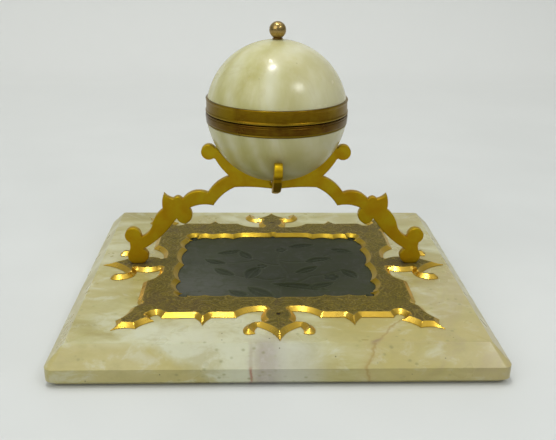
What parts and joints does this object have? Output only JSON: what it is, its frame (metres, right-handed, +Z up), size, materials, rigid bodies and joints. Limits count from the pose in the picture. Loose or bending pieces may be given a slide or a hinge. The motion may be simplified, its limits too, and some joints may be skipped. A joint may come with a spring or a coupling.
{
  "type": "desk stand with globe inkwell",
  "caption": "Bevelled onyx desk slab with a slate plaque in a cut brass frame, and a scrolled brass bridge cradling a hinged onyx globe inkwell.",
  "frame": {"origin": "middle of the underside, on the surface that the piece stands on", "axes": "+X to the right along the slab's long side, +Y to the back where the hinge is, +Z up"},
  "size_m": [0.203, 0.18, 0.145],
  "materials": {
    "slab_onyx": "polished, veined green and cream onyx marble",
    "globe_onyx": "polished, banded cream onyx marble",
    "carved_slate": "matt dark slate with carved leaves",
    "engraved_gilt": "engraved gilt brass with polished bevels",
    "matt_gilt": "matt gilt brass",
    "band_gilt": "satin gilt brass, darkened",
    "polished_gilt": "polished brass",
    "fixing_brass": "plain turned brass",
    "liner_glass": "clear pressed glass",
    "green_felt": "green wool felt"
  },
  "bodies": {
    "root": {"base_felt": "green_felt", "onyx_base": "slab_onyx", "slate_panel": "carved_slate", "frame_plate": "engraved_gilt", "bridge_plate": "matt_gilt", "cross_bracket": "matt_gilt", "frame_stud_front": "fixing_brass", "frame_washer_front": "fixing_brass", "frame_nut_front": "fixing_brass", "frame_stud_back": "fixing_brass", "frame_washer_back": "fixing_brass", "frame_nut_back": "fixing_brass", "foot_screw_left": "fixing_brass", "foot_washer_left": "fixing_brass", "foot_screw_right": "fixing_brass", "foot_washer_right": "fixing_brass", "bowl_onyx": "globe_onyx", "bowl_rim_band": "band_gilt", "ink_liner": "liner_glass", "globe_screw": "fixing_brass", "globe_washer": "fixing_brass", "globe_nut": "fixing_brass", "bowl_hinge_leaf": "band_gilt", "hinge_pin": "fixing_brass"},
    "lid": {"lid_onyx": "globe_onyx", "lid_rim_band": "band_gilt", "finial_ball": "polished_gilt", "finial_washer": "fixing_brass", "finial_nut": "fixing_brass", "lid_hinge_leaf": "band_gilt"}
  },
  "joints": [
    {"name": "lid_hinge", "type": "hinge", "parent": "root", "child": "lid", "pos_m": [0, 0.0376, 0.1018], "axis": [-1, 0, 0], "range_deg": [0, 105]}
  ]
}
